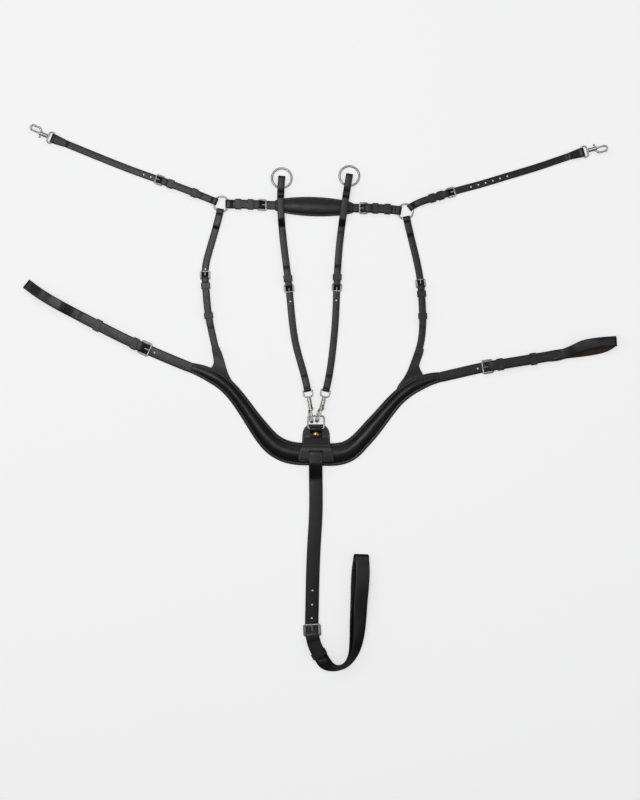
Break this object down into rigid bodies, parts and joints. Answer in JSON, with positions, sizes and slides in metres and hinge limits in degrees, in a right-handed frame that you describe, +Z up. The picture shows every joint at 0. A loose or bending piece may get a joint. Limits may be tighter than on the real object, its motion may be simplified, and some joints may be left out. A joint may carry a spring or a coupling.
{
  "type": "breastplate martingale",
  "caption": "Leather horse breastplate laid flat, with a padded chest piece, buckled straps to saddle, neck and girth, and a clip-on running-martingale fork with rings.",
  "frame": {"origin": "underside of the padded chest piece, at its middle, on the floor that the laid-out tack lies on", "axes": "+Z up from the floor, +Y towards the martingale rings and the withers, +X towards the strap with the open girth loop, which is the right-hand side seen from above"},
  "size_m": [1.0976, 1.0094, 0.0259],
  "materials": {
    "black_leather": "satin",
    "padding": "matte",
    "nickel": "polished",
    "brass": "polished"
  },
  "bodies": {
    "breastplate": {"chest_lining": "black_leather", "chest_padding": "padding", "chest_outer": "black_leather", "centre_patch": "black_leather", "ring_tab": "black_leather", "emblem_stud": "brass", "wither_pad_lining": "black_leather", "wither_pad_padding": "padding", "wither_pad_outer": "black_leather", "wither_strap": "black_leather", "wither_chape_left": "black_leather", "wither_chape_right": "black_leather", "wither_buckles": "nickel", "neck_billet_left": "black_leather", "neck_billet_right": "black_leather", "neck_chape_left": "black_leather", "neck_chape_right": "black_leather", "neck_buckles": "nickel"},
    "chest_ring": {"chest_ring": "nickel"},
    "girth_centre": {"centre_girth_strap": "black_leather", "centre_girth_buckle": "nickel", "centre_girth_loop": "black_leather"},
    "fork_left": {"fork_billet_left": "black_leather", "fork_chape_left": "black_leather", "fork_buckle_left": "nickel", "fork_snap_eye_left": "nickel", "fork_snap_hook_left": "nickel", "fork_snap_spring_left": "nickel"},
    "fork_bolt_left": {"fork_snap_bolt_left": "nickel"},
    "martingale_ring_left": {"martingale_ring_left": "nickel"},
    "neck_ring_left": {"neck_ring_left": "nickel"},
    "saddle_left": {"saddle_billet_left": "black_leather", "saddle_chape_left": "black_leather", "saddle_buckle_left": "nickel", "saddle_snap_eye_left": "nickel"},
    "saddle_snap_left": {"saddle_snap_hook_left": "nickel", "saddle_snap_spring_left": "nickel"},
    "saddle_bolt_left": {"saddle_snap_bolt_left": "nickel"},
    "girth_left": {"girth_billet_left": "black_leather", "girth_buckle_left": "nickel", "girth_loop_left": "black_leather"},
    "fork_right": {"fork_billet_right": "black_leather", "fork_chape_right": "black_leather", "fork_buckle_right": "nickel", "fork_snap_eye_right": "nickel", "fork_snap_hook_right": "nickel", "fork_snap_spring_right": "nickel"},
    "fork_bolt_right": {"fork_snap_bolt_right": "nickel"},
    "martingale_ring_right": {"martingale_ring_right": "nickel"},
    "neck_ring_right": {"neck_ring_right": "nickel"},
    "saddle_right": {"saddle_billet_right": "black_leather", "saddle_chape_right": "black_leather", "saddle_buckle_right": "nickel", "saddle_snap_eye_right": "nickel"},
    "saddle_snap_right": {"saddle_snap_hook_right": "nickel", "saddle_snap_spring_right": "nickel"},
    "saddle_bolt_right": {"saddle_snap_bolt_right": "nickel"},
    "girth_right": {"girth_billet_right": "black_leather", "girth_buckle_right": "nickel", "girth_loop_right": "black_leather"}
  },
  "joints": [
    {"name": "chest_ring_swing", "type": "hinge", "parent": "breastplate", "child": "chest_ring", "pos_m": [0.0009, 0.0472, 0.00675], "axis": [1, 0, 0], "range_deg": [0, 75]},
    {"name": "girth_centre_swing", "type": "hinge", "parent": "breastplate", "child": "girth_centre", "pos_m": [0.0005, 0.004, 0.0145], "axis": [-1, 0, 0], "range_deg": [0, 60]},
    {"name": "fork_left_swing", "type": "hinge", "parent": "chest_ring", "child": "fork_left", "pos_m": [-0.00655, 0.0705, 0.00675], "axis": [1, 0, 0], "range_deg": [0, 60]},
    {"name": "fork_bolt_left_slide", "type": "slide", "parent": "fork_left", "child": "fork_bolt_left", "axis": [-0.17, 0.9791, -0.1113], "range_m": [0, 0.005], "stiffness_N_per_m": 250, "springref_m": -0.004, "deforming": ["fork_snap_spring_left"]},
    {"name": "martingale_ring_left_swing", "type": "hinge", "parent": "fork_left", "child": "martingale_ring_left", "pos_m": [-0.06422, 0.49188, 0.0035], "axis": [0.9955, -0.0947, 0], "range_deg": [0, 60]},
    {"name": "neck_ring_left_turn", "type": "hinge", "parent": "breastplate", "child": "neck_ring_left", "pos_m": [-0.174, 0.462, 0.0031], "axis": [0, 0, 1], "continuous": true},
    {"name": "saddle_left_swing", "type": "hinge", "parent": "breastplate", "child": "saddle_left", "pos_m": [-0.174, 0.462, 0.0031], "axis": [0, 0, 1], "range_deg": [-20, 20]},
    {"name": "saddle_snap_left_swivel", "type": "hinge", "parent": "saddle_left", "child": "saddle_snap_left", "pos_m": [-0.50759, 0.59207, 0.00575], "axis": [-0.9225, 0.3663, 0.1219], "continuous": true},
    {"name": "saddle_bolt_left_slide", "type": "slide", "parent": "saddle_snap_left", "child": "saddle_bolt_left", "axis": [0.9225, -0.3663, -0.1219], "range_m": [0, 0.005], "stiffness_N_per_m": 250, "springref_m": -0.004, "deforming": ["saddle_snap_spring_left"]},
    {"name": "girth_left_lift", "type": "hinge", "parent": "breastplate", "child": "girth_left", "pos_m": [-0.23019, 0.15957, 0.003], "axis": [0.3676, 0.93, 0], "range_deg": [0, 60]},
    {"name": "fork_right_swing", "type": "hinge", "parent": "chest_ring", "child": "fork_right", "pos_m": [0.00725, 0.0705, 0.00675], "axis": [1, 0, 0], "range_deg": [0, 60]},
    {"name": "fork_bolt_right_slide", "type": "slide", "parent": "fork_right", "child": "fork_bolt_right", "axis": [0.2444, 0.9635, -0.1095], "range_m": [0, 0.005], "stiffness_N_per_m": 250, "springref_m": -0.004, "deforming": ["fork_snap_spring_right"]},
    {"name": "martingale_ring_right_swing", "type": "hinge", "parent": "fork_right", "child": "martingale_ring_right", "pos_m": [0.05933, 0.49608, 0.0035], "axis": [0.9847, -0.1741, 0], "range_deg": [0, 60]},
    {"name": "neck_ring_right_turn", "type": "hinge", "parent": "breastplate", "child": "neck_ring_right", "pos_m": [0.166, 0.448, 0.0031], "axis": [0, 0, 1], "continuous": true},
    {"name": "saddle_right_swing", "type": "hinge", "parent": "breastplate", "child": "saddle_right", "pos_m": [0.166, 0.448, 0.0031], "axis": [0, 0, 1], "range_deg": [-20, 20]},
    {"name": "saddle_snap_right_swivel", "type": "hinge", "parent": "saddle_right", "child": "saddle_snap_right", "pos_m": [0.51631, 0.56445, 0.00575], "axis": [0.9535, 0.2756, 0.1219], "continuous": true},
    {"name": "saddle_bolt_right_slide", "type": "slide", "parent": "saddle_snap_right", "child": "saddle_bolt_right", "axis": [-0.9535, -0.2756, -0.1219], "range_m": [0, 0.005], "stiffness_N_per_m": 250, "springref_m": -0.004, "deforming": ["saddle_snap_spring_right"]},
    {"name": "girth_right_lift", "type": "hinge", "parent": "breastplate", "child": "girth_right", "pos_m": [0.2302, 0.14204, 0.003], "axis": [0.2158, -0.9764, 0], "range_deg": [0, 60]}
  ]
}
